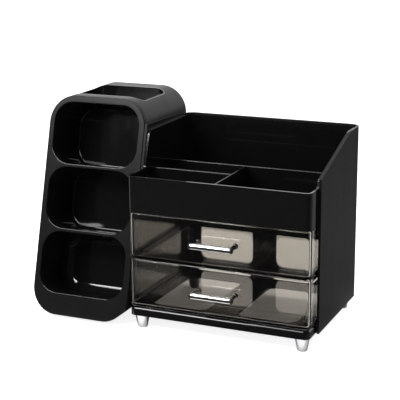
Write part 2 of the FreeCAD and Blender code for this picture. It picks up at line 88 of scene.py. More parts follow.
def maths(tree, operation, a, b=None, clamp=False):
    node = tree.nodes.new("ShaderNodeMath")
    node.operation = operation
    node.use_clamp = clamp
    for socket, value in zip(node.inputs, (a, b)):
        if value is None:
            continue
        if isinstance(value, (int, float)):
            socket.default_value = value
        else:
            tree.links.new(value, socket)
    return node.outputs[0]


def components(tree, vector):
    node = tree.nodes.new("ShaderNodeSeparateXYZ")
    tree.links.new(vector, node.inputs["Vector"])
    return node.outputs


def ramp(tree, value, low, high, outLow=0.0, outHigh=1.0):
    # Goes softly from outLow to outHigh as the value goes from low to high
    node = tree.nodes.new("ShaderNodeMapRange")
    node.interpolation_type = "SMOOTHSTEP"
    for socket, number in zip(list(node.inputs)[1:5], (low, high, outLow, outHigh)):
        if isinstance(number, (int, float)):
            socket.default_value = number
        else:
            tree.links.new(number, socket)
    tree.links.new(value, node.inputs["Value"])
    return node.outputs["Result"]


# Scales of the textures, and the spans over which they turn into masks
grainLook = {"fineDetail": 3.0, "fineRoughness": 0.6, "broad": 55.0}
wearLook = {"samples": 4, "turned": (0.995, 0.80), "detail": 4.0, "roughness": 0.65, "patches": (0.35, 0.65)}
handlingLook = {"stretch": (1.0, 1.0, 0.35), "clouds": (38.0, 5.0, 0.62), "cloudy": (0.42, 0.78),
                "specks": (900.0, 2.0, 0.5), "specked": (0.62, 0.72), "speckShare": 0.6,
                "film": (24.0, 3.0, 0.55), "filmed": (0.3, 0.8), "upward": (0.55, 0.98)}


def makeGrain():
    # Fine moulded grain, as a height
    group, source, sink = newGroup("mouldGrain", (("Scale", "NodeSocketFloat", 2200.0),
                                                  ("Unevenness", "NodeSocketFloat", 0.4)),
                                   (("Height", "NodeSocketFloat"),))
    coords = group.nodes.new("ShaderNodeTexCoord").outputs["Object"]
    fine = noise(group, coords, source.outputs["Scale"], grainLook["fineDetail"], grainLook["fineRoughness"])
    uneven = maths(group, "MULTIPLY", noise(group, coords, grainLook["broad"]), source.outputs["Unevenness"])
    group.links.new(maths(group, "ADD", fine, uneven), sink.inputs["Height"])
    return group


def makeWear():
    # Where edges are rubbed: the rounded normal leaves the face's own normal there
    group, source, sink = newGroup("edgeWear", (("Reach", "NodeSocketFloat", 0.0009),
                                                ("Breakup", "NodeSocketFloat", 160.0)),
                                   (("Mask", "NodeSocketFloat"),))
    bevel = group.nodes.new("ShaderNodeBevel")
    bevel.samples = wearLook["samples"]
    group.links.new(source.outputs["Reach"], bevel.inputs["Radius"])
    geometry = group.nodes.new("ShaderNodeNewGeometry")
    dot = group.nodes.new("ShaderNodeVectorMath")
    dot.operation = "DOT_PRODUCT"
    group.links.new(bevel.outputs["Normal"], dot.inputs[0])
    group.links.new(geometry.outputs["Normal"], dot.inputs[1])
    edge = ramp(group, dot.outputs["Value"], *wearLook["turned"])
    coords = group.nodes.new("ShaderNodeTexCoord").outputs["Object"]
    broken = noise(group, coords, source.outputs["Breakup"], wearLook["detail"], wearLook["roughness"])
    patches = ramp(group, broken, *wearLook["patches"])
    group.links.new(maths(group, "MULTIPLY", edge, patches), sink.inputs["Mask"])
    return group


def makeHandling():
    # Faint smears and settled dust on things that are handled every day
    group, source, sink = newGroup("handling", (("Smears", "NodeSocketFloat", 1.0),
                                                ("Dust", "NodeSocketFloat", 1.0)),
                                   (("Smear", "NodeSocketFloat"), ("Dust", "NodeSocketFloat")))
    look = handlingLook
    coords = group.nodes.new("ShaderNodeTexCoord").outputs["Object"]
    stretch = group.nodes.new("ShaderNodeMapping")
    stretch.inputs["Scale"].default_value = look["stretch"]
    group.links.new(coords, stretch.inputs["Vector"])
    cloudy = ramp(group, noise(group, stretch.outputs["Vector"], *look["clouds"]), *look["cloudy"])
    group.links.new(maths(group, "MULTIPLY", cloudy, source.outputs["Smears"]), sink.inputs["Smear"])
    specks = ramp(group, noise(group, coords, *look["specks"]), *look["specked"])
    film = ramp(group, noise(group, coords, *look["film"]), *look["filmed"])
    normal = group.nodes.new("ShaderNodeNewGeometry").outputs["Normal"]
    upward = ramp(group, components(group, normal)["Z"], *look["upward"])
    both = maths(group, "ADD", maths(group, "MULTIPLY", specks, look["speckShare"]), film)
    settled = maths(group, "MULTIPLY", both, upward)
    group.links.new(maths(group, "MULTIPLY", settled, source.outputs["Dust"], True), sink.inputs["Dust"])
    return group


grainGroup = makeGrain()
wearGroup = makeWear()
handlingGroup = makeHandling()


def place(tree, group, **values):
    node = tree.nodes.new("ShaderNodeGroup")
    node.node_tree = group
    for label, value in values.items():
        node.inputs[label].default_value = value
    return node


def mixColour(tree, factor, first, second):
    node = tree.nodes.new("ShaderNodeMix")
    node.data_type = "RGBA"
    for socket, value in zip((node.inputs[6], node.inputs[7]), (first, second)):
        if isinstance(value, tuple):
            socket.default_value = (*value, 1.0)
        else:
            tree.links.new(value, socket)
    tree.links.new(factor, node.inputs[0])
    return node.outputs[2]


def newMaterial(name):
    material = bpy.data.materials.new(name)
    material.use_nodes = True
    return material, material.node_tree, material.node_tree.nodes["Principled BSDF"]


def finish(name, look):
    # One material from a dictionary of what is different about it
    look = {**common, **look}
    material, tree, shader = newMaterial(name)
    shader.inputs["Metallic"].default_value = look["metallic"]
    shader.inputs["IOR"].default_value = look["ior"]
    shader.inputs["Specular IOR Level"].default_value = look["specular"]
    shader.inputs["Transmission Weight"].default_value = look["transmission"]

    wear = place(tree, wearGroup, Reach=look["wearReach"], Breakup=look["wearBreakup"])
    handling = place(tree, handlingGroup, Smears=look["smears"], Dust=look["dust"])
    worn = maths(tree, "MULTIPLY", wear.outputs["Mask"], look["wear"])
    coloured = mixColour(tree, worn, look["colour"], look["wornColour"])
    dusted = mixColour(tree, handling.outputs["Dust"], coloured, look["dustColour"])
    tree.links.new(dusted, shader.inputs["Base Color"])

    smeared = maths(tree, "MULTIPLY", handling.outputs["Smear"], look["smearRoughness"])
    rubbed = maths(tree, "MULTIPLY", worn, look["wornRoughness"])
    total = maths(tree, "ADD", maths(tree, "ADD", smeared, rubbed), look["roughness"], True)
    tree.links.new(total, shader.inputs["Roughness"])

    if look["grain"] > 0:
        grain = place(tree, grainGroup, Scale=look["grainScale"], Unevenness=look["unevenness"])
        bump = tree.nodes.new("ShaderNodeBump")
        bump.inputs["Strength"].default_value = look["grain"]
        bump.inputs["Distance"].default_value = look["grainDepth"]
        tree.links.new(grain.outputs["Height"], bump.inputs["Height"])
        tree.links.new(bump.outputs["Normal"], shader.inputs["Normal"])
    return material


# What every finish has unless its own dictionary says otherwise
common = {"metallic": 0.0, "ior": 1.5, "specular": 0.5, "transmission": 0.0, "wearReach": 0.0008,
          "wearBreakup": 180.0, "wornRoughness": 0.15, "smears": 1.0, "dustColour": (0.32, 0.31, 0.30),
          "grain": 0.0, "grainScale": 2200.0, "unevenness": 0.4, "grainDepth": 0.00006}
looks = {
    "satin_black": {"colour": (0.0065, 0.0065, 0.0068), "roughness": 0.34, "specular": 0.15,
                    "grain": 0.30, "grainScale": 2600.0, "wornColour": (0.05, 0.05, 0.05),
                    "wear": 0.45, "smearRoughness": 0.05, "dust": 0.012},
    "gloss_black": {"colour": (0.0045, 0.0045, 0.0045), "roughness": 0.07, "specular": 0.45,
                    "grain": 0.06, "grainScale": 260.0, "unevenness": 2.0, "grainDepth": 0.0002,
                    "wornColour": (0.05, 0.05, 0.05), "wear": 0.5, "smearRoughness": 0.05, "dust": 0.008},
    "smoked_clear": {"colour": (0.75, 0.725, 0.685), "roughness": 0.0, "ior": 1.49, "transmission": 1.0,
                     "wornColour": (0.80, 0.78, 0.74), "wear": 0.3, "smearRoughness": 0.006, "dust": 0.0},
    "chrome_handle": {"colour": (0.64, 0.63, 0.62), "metallic": 1.0, "roughness": 0.11, "grain": 0.05,
                      "grainScale": 700.0, "wornColour": (0.6, 0.59, 0.57), "wear": 0.6,
                      "smearRoughness": 0.10, "dust": 0.02},
    "silver_foot": {"colour": (0.60, 0.60, 0.61), "metallic": 1.0, "roughness": 0.07, "grain": 0.03,
                    "grainScale": 1500.0, "wornColour": (0.5, 0.5, 0.5), "wear": 0.6,
                    "smearRoughness": 0.06, "dust": 0.01},
    "steel_screw": {"colour": (0.52, 0.52, 0.52), "metallic": 1.0, "roughness": 0.28, "grain": 0.15,
                    "grainScale": 1800.0, "wornColour": (0.35, 0.34, 0.33), "wear": 0.7,
                    "smearRoughness": 0.12, "dust": 0.02},
    "dark_cap": {"colour": (0.016, 0.016, 0.016), "roughness": 0.34, "specular": 0.4, "grain": 0.3,
                 "grainScale": 2400.0, "wornColour": (0.06, 0.06, 0.06), "wear": 0.5,
                 "smearRoughness": 0.06, "dust": 0.02},
    "black_rubber": {"colour": (0.022, 0.022, 0.022), "roughness": 0.78, "specular": 0.25, "grain": 0.5,
                     "grainScale": 1600.0, "wornColour": (0.06, 0.06, 0.06), "wear": 0.6,
                     "smearRoughness": 0.08, "dust": 0.05},
}
materials = {slot: finish(slot + "_finish", look) for slot, look in looks.items()}
slotOf = {row["node"]: row["material_slot"] for row in frame["record"]["subparts"]}
bodyOf = {node: body for body, nodes in frame["record"]["behaviour"]["bodies"].items() for node in nodes}
print("finishes made", len(materials))


# Mesh helpers

def roundedPlate(bm, spans, radii, segments):
    # A flat face in the XY plane; radii are for the corners low left, low right, high right, high left
    (x0, x1), (y0, y1) = spans
    before = set(bm.faces)
    corners = [bm.verts.new((x * mm, y * mm, 0)) for x, y in ((x0, y0), (x1, y0), (x1, y1), (x0, y1))]
    bm.faces.new(corners)
    for radius in sorted(set(radii)):
        if radius > 0:
            chosen = [v for v, r in zip(corners, radii) if r == radius]
            bmesh.ops.bevel(bm, geom=chosen, offset=radius * mm, affect="VERTICES", segments=segments,
                            profile=0.5, material=-1, clamp_overlap=False)
    return next(f for f in bm.faces if f not in before)


def follow(bm, face, stations):
    # Takes a face in along stations (inset, rise) measured from where it starts
    before = (0.0, 0.0)
    for inset, rise in stations:
        bmesh.ops.inset_individual(bm, faces=[face], thickness=(inset - before[0]) * mm,
                                   depth=(rise - before[1]) * mm, use_even_offset=True)
        before = (inset, rise)


def arcIn(radius, steps, start=(0.0, 0.0), side=1):
    # Stations of a quarter round that starts upright and ends level; side is 1 to rise and -1 to sink
    turns = [math.pi / 2 * i / steps for i in range(1, steps + 1)]
    return [(start[0] + radius * (1 - math.cos(t)), start[1] + side * radius * math.sin(t)) for t in turns]


def arcOver(radius, steps, start=(0.0, 0.0)):
    # Stations of a quarter round that starts level and ends straight down
    turns = [math.pi / 2 * i / steps for i in range(1, steps + 1)]
    return [(start[0] + radius * math.sin(t), start[1] - radius * (1 - math.cos(t))) for t in turns]


def turned(profile, steps=48):
    # Spins (radius, height) points about Z and gives a mesh
    bm = bmesh.new()
    points = [bm.verts.new((radius * mm, 0, height * mm)) for radius, height in profile]
    lines = [bm.edges.new(pair) for pair in zip(points, points[1:])]
    bmesh.ops.spin(bm, geom=points + lines, cent=(0, 0, 0), axis=(0, 0, 1), angle=2 * math.pi, steps=steps,
                   use_merge=True)
    bmesh.ops.remove_doubles(bm, verts=bm.verts, dist=weld)
    bmesh.ops.recalc_face_normals(bm, faces=bm.faces)
    mesh = bpy.data.meshes.new("turned")
    bm.to_mesh(mesh)
    bm.free()
    return mesh


def standing(origin, direction):
    # Puts a mesh's Z axis along a direction
    matrix = Vector(direction).to_track_quat("Z", "Y").to_matrix().to_4x4()
    matrix.translation = origin
    return matrix


def gather(parts):
    # Several placed copies of meshes as one bmesh
    bm = bmesh.new()
    for mesh, matrix in parts:
        copied = mesh.copy()
        copied.transform(matrix)
        bm.from_mesh(copied)
        bpy.data.meshes.remove(copied)
    return bm


def faceLooking(bm, direction):
    # The face that looks most nearly in a direction
    return max(bm.faces, key=lambda f: f.normal.dot(Vector(direction)))


def vertsOf(geometry):
    return [v for v in geometry if isinstance(v, bmesh.types.BMVert)]


def newObject(name, bm):
    mesh = bpy.data.meshes.new(name)
    bm.to_mesh(mesh)
    bm.free()
    obj = bpy.data.objects.new(name, mesh)
    scene.collection.objects.link(obj)
    return obj


def settle(obj, node, angle=32, slot=None, finishes=None):
    # A finished piece takes its node's place, body, slot and finish; large flat faces keep flat shading
    obj.data.polygons.foreach_set("use_smooth", [True] * len(obj.data.polygons))
    obj.data.set_sharp_from_angle(angle=math.radians(angle))
    even = obj.modifiers.new("evenNormals", "WEIGHTED_NORMAL")
    even.keep_sharp = True
    even.weight = 100
    slot = slot or slotOf[node]
    for look in finishes or (slot,):
        obj.data.materials.append(materials[look])
    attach(obj, bodyOf[node])
    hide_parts(node)
    low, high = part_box(node)
    bpy.context.view_layer.update()
    corners = [Vector(c) for c in obj.evaluated_get(bpy.context.evaluated_depsgraph_get()).bound_box]
    off = max(max(abs(min(c[i] for c in corners) - low[i]), abs(max(c[i] for c in corners) - high[i]))
              for i in range(3))
    triangles = sum(len(p.vertices) - 2 for p in obj.data.polygons)
    print(f"{obj.name}: {triangles} triangles, {off * 1000:.2f} mm from its node's box")


def applied(obj):
    # What an object's modifiers give becomes its own mesh
    bpy.context.view_layer.update()
    shown = obj.evaluated_get(bpy.context.evaluated_depsgraph_get())
    mesh = bpy.data.meshes.new_from_object(shown)
    obj.modifiers.clear()
    obj.data = mesh


def walled(obj, thickness):
    # Gives an open skin its wall, inwards
    shell = obj.modifiers.new("wall", "SOLIDIFY")
    shell.thickness = thickness * mm
    shell.offset = -1
    shell.use_even_offset = True


def cutWith(obj, cutter):
    # Takes the cutter's shape out of an object for good
    modifier = obj.modifiers.new("cut", "BOOLEAN")
    modifier.operation = "DIFFERENCE"
    modifier.solver = "EXACT"
    modifier.object = cutter
    applied(obj)
    bpy.data.objects.remove(cutter)


def addLoops(bm, axis, places):
    # Adds a loop of edges at each place along an axis
    normal = Vector([float(i == axis) for i in range(3)])
    for value in places:
        bmesh.ops.bisect_plane(bm, geom=bm.verts[:] + bm.edges[:] + bm.faces[:], plane_no=normal,
                               plane_co=at(value, value, value), dist=weld)


def drawnUp(bm, face, low, high):
    # Makes a flat face a block between two heights
    made = bmesh.ops.extrude_face_region(bm, geom=[face])["geom"]
    bmesh.ops.translate(bm, verts=vertsOf(made), vec=(0, 0, (high - low) * mm))
    bmesh.ops.recalc_face_normals(bm, faces=bm.faces)
    bmesh.ops.translate(bm, verts=bm.verts, vec=(0, 0, low * mm))


softEdge = {"merge": 2e-6, "flat": 1.0, "sharp": 35.0, "least": 0.5, "segments": 2}


def softened(node, width, slot=None, shape=None):
    # A copy of a node's mesh, made whole again, with its edges slightly rounded
    bm = bmesh.new()
    bm.from_mesh(frame["nodes"][node].data)
    bmesh.ops.remove_doubles(bm, verts=bm.verts, dist=softEdge["merge"])
    bmesh.ops.dissolve_limit(bm, angle_limit=math.radians(softEdge["flat"]), verts=bm.verts, edges=bm.edges)
    if shape:
        shape(bm)
    sharp = math.radians(softEdge["sharp"])
    edges = [e for e in bm.edges if e.is_manifold and e.calc_face_angle(0) > sharp
             and e.calc_length() > softEdge["least"] * mm]
    bmesh.ops.bevel(bm, geom=edges, offset=width * mm, affect="EDGES", segments=softEdge["segments"],
                    profile=0.5, material=-1, clamp_overlap=True, loop_slide=True)
    settle(newObject(node + "_fine", bm), node, slot=slot)


# Cabinet

# The tower's outline is used here too, because the cabinet's left panel leans with it
tower = {"x": (-115.5, -0.3), "z": (4.0, 234.0), "corner": 29.0, "frontLow": -30.0,
         "slantRise": 64.6 / 234.0, "back": 136.0, "backRound": 2.2, "wall": 2.8, "steps": 20}
cabinet = {"softEdges": {"runner_frame": 0.35, "top_tray": 0.45, "rear_divider": 0.22,
                         "left_divider": 0.22, "long_divider": 0.22, "tower_well": 0.4},
           "shellEdge": 0.4, "plinthEdge": 0.35,
           "x": (2.9, 201.6), "front": -24.0, "corner": 6.5,
           "plinthTop": 24.9, "plinthRound": 4.2, "plinthSteps": 6, "plinthBack": 6.0, "plinthChamfer": 0.85,
           "panel": 2.6, "panelTop": 205.0, "panelSlack": 0.3,
           "panelSlices": (60.0, 104.0, 112.0, 119.0, 125.0),
           "leftHigh": 210.0, "leftFall": 2.7, "leftRun": (26.6, 112.0, 126.0), "leftFront": 28.6}


def outlineInset(x, y):
    # How far a place lies inside the front outline with its round corners, and which way is inwards
    c = cabinet
    r = c["corner"]
    (x0, x1), y0 = c["x"], c["front"]
    centre = Vector((min(max(x, x0 + r), x1 - r), max(y, y0 + r)))
    away = Vector((x, y)) - centre
    if y < y0 + r and (x < x0 + r or x > x1 - r) and away.length > same:
        return r - away.length, -away.normalized()
    if y < y0 + r:
        return y - y0, Vector((0, 1))
    return min(x - x0, x1 - x), Vector((1 if x < (x0 + x1) / 2 else -1, 0))


def roundPlinth(bm):
    # The plinth's top edge runs over in a broad quarter round
    c = cabinet
    r = c["plinthRound"]
    low = c["plinthTop"] - r
    addLoops(bm, 1, (c["plinthBack"],))
    addLoops(bm, 2, [low + r * math.sin(math.pi / 2 * i / c["plinthSteps"]) for i in range(c["plinthSteps"])])
    for vert in bm.verts:
        x, y, z = (vert.co - seam) / mm
        inset, inwards = outlineInset(x, y)
        if y < c["plinthBack"] + onLoop and z > low and inset < c["plinthChamfer"]:
            reach = r - math.sqrt(max(0.0, r * r - (z - low) ** 2)) - inset
            vert.co += Vector((*inwards, 0)) * reach * mm


def raiseLeftPanel(bm):
    # The left panel stands a little higher and comes down to the back
    c = cabinet
    start, bend, end = c["leftRun"]
    addLoops(bm, 1, c["panelSlices"])
    for vert in bm.verts:
        x, y, z = (vert.co - seam) / mm
        if x > c["panel"] or z < c["panelTop"] - c["panelSlack"] or y > end:
            continue
        high = c["leftHigh"] - c["leftFall"] * max(0.0, y - start) / (bend - start) - c["panelTop"]
        if y > bend:
            ease = (y - bend) / (end - bend)
            high = (c["leftHigh"] - c["leftFall"] - c["panelTop"]) * (1 - ease * ease * (3 - 2 * ease))
        leaning = tower["slantRise"] * high if y < c["leftFront"] else 0.0
        vert.co += Vector((0, leaning, high)) * mm


for node, width in cabinet["softEdges"].items():
    softened(node, width)
softened("base_plinth", cabinet["plinthEdge"], slot="gloss_black", shape=roundPlinth)
softened("case_shell", cabinet["shellEdge"], shape=raiseLeftPanel)
print("cabinet mouldings softened")


# Drawers

drawer = {"x": (2.9, 201.6), "y": (-24.0, 131.0), "height": 49.4, "bottoms": {"lower": 25.4, "upper": 77.9},
          "frontRadius": 6.5, "rearRadius": 9.0, "wall": 2.2, "underRound": 1.6, "insideRound": 2.0,
          "bead": {"lower": 3.6, "upper": 2.2}, "beadDrop": 2.6, "lipRound": 0.9,
          "frontRise": {"lower": 2.85, "upper": 0.0}, "riseSpan": (-13.0, -9.0), "riseSlack": 0.5,
          "cornerSteps": 10, "lipSteps": 4}


def makeDrawer(level, bottom):
    d = drawer
    bm = bmesh.new()
    radii = (d["frontRadius"], d["frontRadius"], d["rearRadius"], d["rearRadius"])
    face = roundedPlate(bm, (d["x"], d["y"]), radii, d["cornerSteps"])
    lip = d["lipRound"]
    high = d["height"] - lip
    drawnUp(bm, face, d["underRound"], high)
    rim = faceLooking(bm, (0, 0, 1))
    under = faceLooking(bm, (0, 0, -1))
    # Over the lip, under the bead that stiffens it, down the inside and round to the floor
    stations = arcIn(lip, d["lipSteps"])
    stations.append((d["bead"][level] - lip, lip))
    stations += arcOver(lip, d["lipSteps"], stations[-1])
    stations.append((d["wall"], -d["beadDrop"]))
    stations.append((d["wall"], -(high - d["wall"] - d["insideRound"])))
    stations += arcIn(d["insideRound"], d["lipSteps"], stations[-1], -1)
    follow(bm, rim, stations)
    follow(bm, under, arcIn(d["underRound"], d["lipSteps"]))
    bmesh.ops.translate(bm, verts=bm.verts, vec=at(0, 0, bottom))
    # The lower front stands up into the gap between the drawers
    rise = d["frontRise"][level]
    if rise > 0:
        addLoops(bm, 1, d["riseSpan"])
        riseFrom = bottom + high - d["beadDrop"] - d["riseSlack"]
        for vert in bm.verts:
            x, y, z = (vert.co - seam) / mm
            if y < d["riseSpan"][0] + onLoop and z > riseFrom:
                vert.co.z += rise * mm
    settle(newObject(level + "_drawer_tub", bm), level + "_drawer")


for level, bottom in drawer["bottoms"].items():
    makeDrawer(level, bottom)
print("drawers made")


# Screws with a domed head and a cross recess

screws = {"handle": {"dome": ((0, 2.2), (1.6, 2.15), (2.5, 1.75), (3.0, 0.9), (3.05, 0.3), (2.95, 0)),
                     "shank": 1.5, "length": 9.3},
          "foot": {"dome": ((0, 2.2), (1.7, 2.15), (2.55, 1.75), (3.0, 0.9), (3.05, 0.3), (2.95, 0)),
                   "shank": 1.5, "length": 15.5},
          "recess": {"arm": 1.8, "half": 0.375, "deep": 1.1}, "steps": 40}


def screwMesh(kind, facing):
    # Its head faces up or down the Z axis as facing is 1 or -1, with the washer face at 0
    look = screws[kind]
    profile = look["dome"] + ((look["shank"], 0), (look["shank"], -look["length"]), (0, -look["length"]))
    whole = turned([(radius, facing * height) for radius, height in profile], screws["steps"])
    screw = newObject("screw", gather([(whole, Matrix.Identity(4))]))
    arm, half, deep = (screws["recess"][k] for k in ("arm", "half", "deep"))
    top = facing * look["dome"][0][1]
    outline = ((arm, -half), (arm, half), (half, half), (half, arm), (-half, arm), (-half, half),
               (-arm, half), (-arm, -half), (-half, -half), (-half, -arm), (half, -arm), (half, -half))
    bm = bmesh.new()
    face = bm.faces.new([bm.verts.new((x * mm, y * mm, 0)) for x, y in outline])
    drawnUp(bm, face, top - deep, top + deep)
    cutWith(screw, newObject("crossCutter", bm))
    mesh = screw.data
    bpy.data.objects.remove(screw)
    return mesh


# Handles

handle = {"centre": 102.3, "reach": 14.4, "rise": 26.0, "front": -24.0, "length": 47.4, "radius": 3.2,
          "edge": 0.35, "bore": 1.9, "steps": 48}


def makeHandle(level, bottom):
    h = handle
    z = bottom + h["rise"]
    y = h["front"] - h["reach"]
    half = h["length"] / 2 - endCap["height"]
    edge = h["edge"]
    outline = ((h["bore"], -half), (h["radius"] - edge, -half), (h["radius"], -half + edge),
               (h["radius"], half - edge), (h["radius"] - edge, half), (h["bore"], half), (h["bore"], -half))
    tube = gather([(turned(outline, h["steps"]), standing(at(h["centre"], y, z), (1, 0, 0)))])
    settle(newObject(level + "_handle_tube", tube), level + "_handle_bar")
    makeCaps(level, y, z, half)
    makePosts(level, z)


endCap = {"height": 2.2, "radius": 3.1, "soft": 0.9, "softSteps": 4, "chamfer": 0.25, "dimple": (1.1, 0.9),
          "plug": 4.0, "plugTip": 0.2, "plugGap": 0.1}


def makeCaps(level, y, z, half):
    # A plug in each end of the bar, with a domed cap that has a dimple in its middle
    c = endCap
    height, r, soft, chamfer = (c[k] for k in ("height", "radius", "soft", "chamfer"))
    plug, tip, plugRadius = c["plug"], c["plugTip"], handle["bore"] - c["plugGap"]
    points = [(0, -plug), (plugRadius - tip, -plug), (plugRadius, tip - plug), (plugRadius, 0),
              (r - chamfer, 0), (r, chamfer)]
    points += [(r - inset, height - soft + rise) for inset, rise in [(0, 0)] + arcIn(soft, c["softSteps"])]
    outer, inner = c["dimple"]
    points += [(outer, height), (inner, height - chamfer), (0, height - chamfer)]
    cap = turned(points, handle["steps"])
    ends = [(cap, standing(at(handle["centre"] + side * half, y, z), (side, 0, 0))) for side in (-1, 1)]
    settle(newObject(level + "_handle_end_caps", gather(ends)), level + "_handle_caps")


# Foot and head: how far inside the radius, with the height over the drawer or the depth under the bar
post = {"spacing": 40.4, "radius": 2.5, "foot": ((0.15, 0), (0, 0.15), (0, 0.9), (0.15, 1.1), (0.35, 1.6)),
        "head": ((0.35, 2.2), (0.15, 1.6), (0, 1.0), (0, 0)), "saddle": 0.9, "screwSeat": 2.62}


def makePosts(level, z):
    # A small flange on the drawer, a waist and a saddle against the bar, and a screw from inside
    h, p = handle, post
    stop = h["reach"] - h["radius"] + p["saddle"]
    points = [(0, 0)] + [(p["radius"] - inside, height) for inside, height in p["foot"]]
    points += [(p["radius"] - inside, stop - under) for inside, under in p["head"]] + [(0, stop)]
    pillar = turned(points, h["steps"])
    screw = screwMesh("handle", 1)
    driven = []
    for side, word in ((-1, "left"), (1, "right")):
        x = h["centre"] + side * p["spacing"] / 2
        stood = gather([(pillar, standing(at(x, h["front"], z), (0, -1, 0)))])
        settle(newObject(f"{level}_handle_{word}_pillar", stood), f"{level}_handle_{word}_post")
        driven.append((screw, standing(at(x, h["front"] + p["screwSeat"], z), (0, 1, 0))))
    settle(newObject(level + "_handle_fixings", gather(driven)), level + "_handle_screws")


for level, bottom in drawer["bottoms"].items():
    makeHandle(level, bottom)
print("handles made")


# Feet, pads and fixings

feet = {"places": {"front_left_foot": (13.0, -13.0), "front_right_foot": (191.5, -13.0),
                   "rear_left_foot": (13.0, 124.8), "rear_right_foot": (191.5, 124.8)},
        "profile": ((1.55, 15.45), (1.55, 6.0), (3.35, 6.0), (3.35, 0.35), (3.7, 0), (4.55, 0), (4.95, 0.2),
                    (5.2, 0.7), (7.55, 12.9), (7.75, 13.5), (8.0, 13.9), (8.0, 15.2), (7.85, 15.45),
                    (1.55, 15.45)),
        "steps": 56, "screwSeat": 5.95}
pads = {"places": ((-83.5, -10.9), (-83.5, 120.0), (-32.3, -10.9), (-32.3, 120.0)),
        "profile": ((0, 0.25), (4.3, 0.25), (4.6, 0.05), (5.1, 0), (5.7, 0.25), (6.0, 0.8), (6.0, 3.98),
                    (0, 3.98)),
        "steps": 48}
rivets = {"places": ((45.0, 50.0), (115.0, 50.0), (62.0, 152.0), (115.0, 152.0)), "face": 2.4,
          "profile": ((0, -0.05), (3.2, 0), (4.4, 0.12), (4.9, 0.45), (5.0, 0.8), (4.9, 1.15), (2.95, 1.15),
                      (2.95, 5.7), (3.6, 5.7), (2.4, 8.2), (1.9, 8.65), (0, 8.65)),
          "steps": 48}

foot = turned(feet["profile"], feet["steps"])
for node, (x, y) in feet["places"].items():
    settle(newObject(node + "_turned", gather([(foot, Matrix.Translation(at(x, y, 0)))])), node)

footScrew = screwMesh("foot", -1)
driven = [(footScrew, Matrix.Translation(at(x, y, feet["screwSeat"]))) for x, y in feet["places"].values()]
settle(newObject("foot_screws_driven", gather(driven)), "foot_screws")

pad = turned(pads["profile"], pads["steps"])
underTower = [(pad, Matrix.Translation(at(x, y, 0))) for x, y in pads["places"]]
settle(newObject("tower_pads_round", gather(underTower)), "tower_pads")

rivet = turned(rivets["profile"], rivets["steps"])
snapped = [(rivet, standing(at(rivets["face"], y, z), (-1, 0, 0))) for y, z in rivets["places"]]
settle(newObject("joining_rivets_snapped", gather(snapped)), "joining_rivets")
print("feet, pads and fixings made")


# Tower

slant = math.atan(tower["slantRise"])
lean = 1 / math.cos(slant)
onFront = Matrix(((1, 0, 0, 0), (0, math.sin(slant), -math.cos(slant), 0),
                  (0, math.cos(slant), math.sin(slant), 0), (0, 0, 0, 1)))
onFront.translation = at(0, tower["frontLow"], 0)

moulding = {"rim": 1.1, "rimSteps": 4, "plate": 3.0, "skirtIn": 2.95, "skirt": 6.0, "thickness": 1.45,
            "cellX": (-108.9, -7.8), "cellBottom": 27.6, "cellHeight": 64.3, "pitch": 67.7, "cells": 3,
            "cellCorner": 21.0, "cellSteps": 14, "lip": 0.9, "lipSteps": 4, "depth": 57.0,
            "backRounds": (12.0, 2.5, 2.5), "backSteps": 10, "seamGap": 0.8, "sharp": 28}


def openEdges(bm, height):
    # Boundary edges at one height of the flat drawing
    return [e for e in bm.edges if e.is_boundary and all(abs(v.co.z - height * mm) < same for v in e.verts)]


def makeTowerFront():
    m = moulding
    bm = bmesh.new()
    face = roundedPlate(bm, (tower["x"], tower["z"]), (tower["corner"],) * 4, tower["steps"])
    bmesh.ops.scale(bm, verts=bm.verts, vec=(1, lean, 1))
    drop = math.tan(slant)
    bmesh.ops.translate(bm, verts=bm.verts, vec=(0, m["rim"] * drop * mm, -m["rim"] * mm))
    if face.normal.z < 0:
        bmesh.ops.reverse_faces(bm, faces=[face])
    follow(bm, face, arcIn(m["rim"], m["rimSteps"]))
    bmesh.ops.delete(bm, geom=[face], context="FACES_ONLY")
    # Three deep cells, each from its lip inwards, with a glossier inside
    plate = set(bm.faces)
    for k in range(m["cells"]):
        low = (m["cellBottom"] + k * m["pitch"]) * lean
        high = low + m["cellHeight"] * lean
        grown = ((m["cellX"][0] - m["lip"], m["cellX"][1] + m["lip"]), (low - m["lip"], high + m["lip"]))
        cell = roundedPlate(bm, grown, (m["cellCorner"] + m["lip"],) * 4, m["cellSteps"])
        if cell.normal.z < 0:
            bmesh.ops.reverse_faces(bm, faces=[cell])
        stations = arcOver(m["lip"], m["lipSteps"])
        stations.append((m["lip"], -(m["depth"] - m["backRounds"][k])))
        stations += arcIn(m["backRounds"][k], m["backSteps"], stations[-1], -1)
        follow(bm, cell, stations)
    for inside in bm.faces:
        if inside not in plate:
            inside.material_index = 1
    bmesh.ops.triangle_fill(bm, use_beauty=True, use_dissolve=False, edges=openEdges(bm, 0), normal=(0, 0, 1))
    # The side of the plate, a step inwards and the skirt that plugs into the casing
    rimEdges = openEdges(bm, -m["rim"])
    side = bmesh.ops.extrude_edge_only(bm, edges=rimEdges)["geom"]
    deeper = m["plate"] - m["rim"]
    bmesh.ops.translate(bm, verts=vertsOf(side), vec=(0, deeper * drop * mm, -deeper * mm))
    closing = bmesh.ops.contextual_create(bm, geom=openEdges(bm, -m["plate"]))["faces"][0]
    if closing.normal.z > 0:
        bmesh.ops.reverse_faces(bm, faces=[closing])
    follow(bm, closing, [(m["skirtIn"], 0), (m["skirtIn"], m["skirt"])])
    bmesh.ops.translate(bm, verts=closing.verts, vec=(0, m["skirt"] * drop * mm, 0))
    bmesh.ops.delete(bm, geom=[closing], context="FACES_ONLY")
    bmesh.ops.transform(bm, matrix=onFront, verts=bm.verts)
    obj = newObject("tower_front_moulding", bm)
    walled(obj, m["thickness"])
    settle(obj, "tower_front", m["sharp"], finishes=("satin_black", "gloss_black"))


